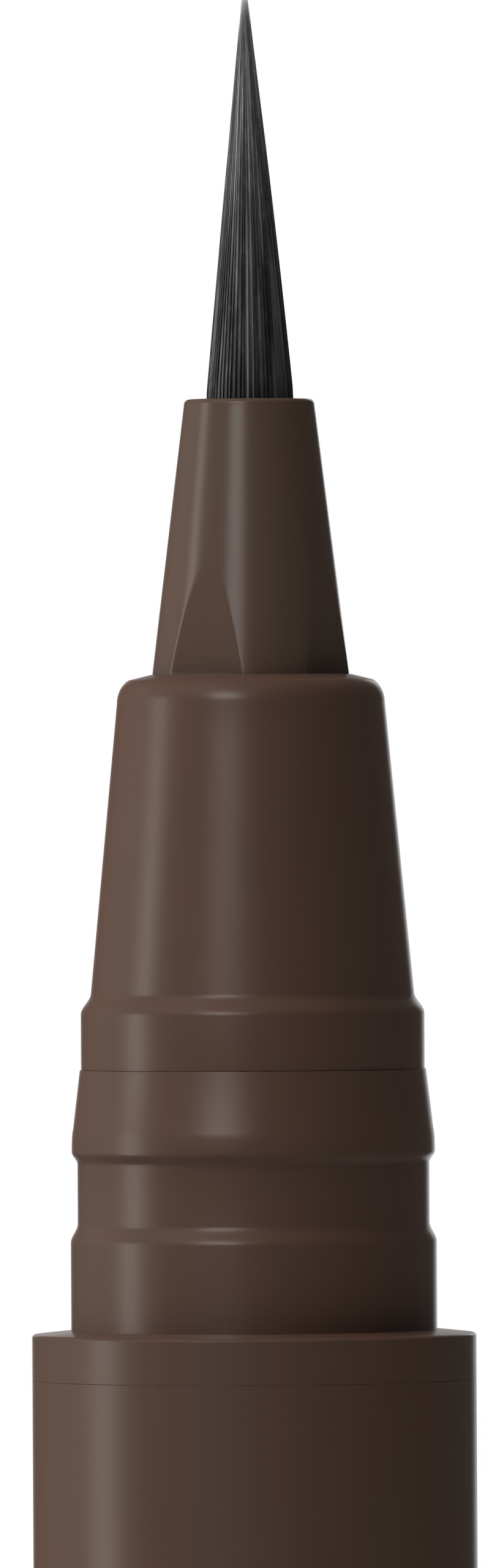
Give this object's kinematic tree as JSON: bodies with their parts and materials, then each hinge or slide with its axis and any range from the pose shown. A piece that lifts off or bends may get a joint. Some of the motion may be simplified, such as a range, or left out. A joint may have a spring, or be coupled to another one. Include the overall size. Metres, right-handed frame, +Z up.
{
  "type": "eyebrow pen",
  "caption": "Slim liquid eyebrow pen with a tapered brush tip, faceted nose cone, tapered front shell, snap bead neck and round barrel; the cap is pushed on the tail and draws off.",
  "frame": {"origin": "centre of the closed end of the cap, on the surface that the pen stands on", "axes": "+Z up along the pen's axis, from the cap on its tail to the brush tip; -Y faces the viewer of the picture, with +X to the viewer's right"},
  "size_m": [0.01, 0.01, 0.1595],
  "materials": {
    "pen_plastic": "semi-gloss moulded, dark brown",
    "nose_plastic": "semi-gloss moulded, dark brown",
    "cap_plastic": "semi-gloss moulded, dark brown",
    "filament": "fine tapered filaments, near black",
    "inner_plastic": "natural moulded",
    "feed_fibre": "bonded fibre",
    "seal_rubber": "matt",
    "ball_steel": "polished"
  },
  "bodies": {
    "cap": {"cap_end": "cap_plastic", "cap_shell": "cap_plastic", "inner_cap": "inner_plastic"},
    "pen": {"brush_tip": "filament", "brush_bush": "inner_plastic", "nose_cone": "nose_plastic", "front_shell": "pen_plastic", "neck": "pen_plastic", "neck_seal": "seal_rubber", "centre_ring": "pen_plastic", "barrel": "pen_plastic", "feed_rod": "feed_fibre", "collector": "inner_plastic", "ink_tank": "inner_plastic", "tail_plug": "pen_plastic", "tail_seal": "seal_rubber"},
    "mixing_ball": {"mixing_ball": "ball_steel"}
  },
  "joints": [
    {"name": "pen_draw", "type": "slide", "parent": "cap", "child": "pen", "axis": [0, 0, 1], "range_m": [0, 0.012]},
    {"name": "ball_travel", "type": "slide", "parent": "pen", "child": "mixing_ball", "axis": [0, 0, 1], "range_m": [0, 0.0621]}
  ]
}
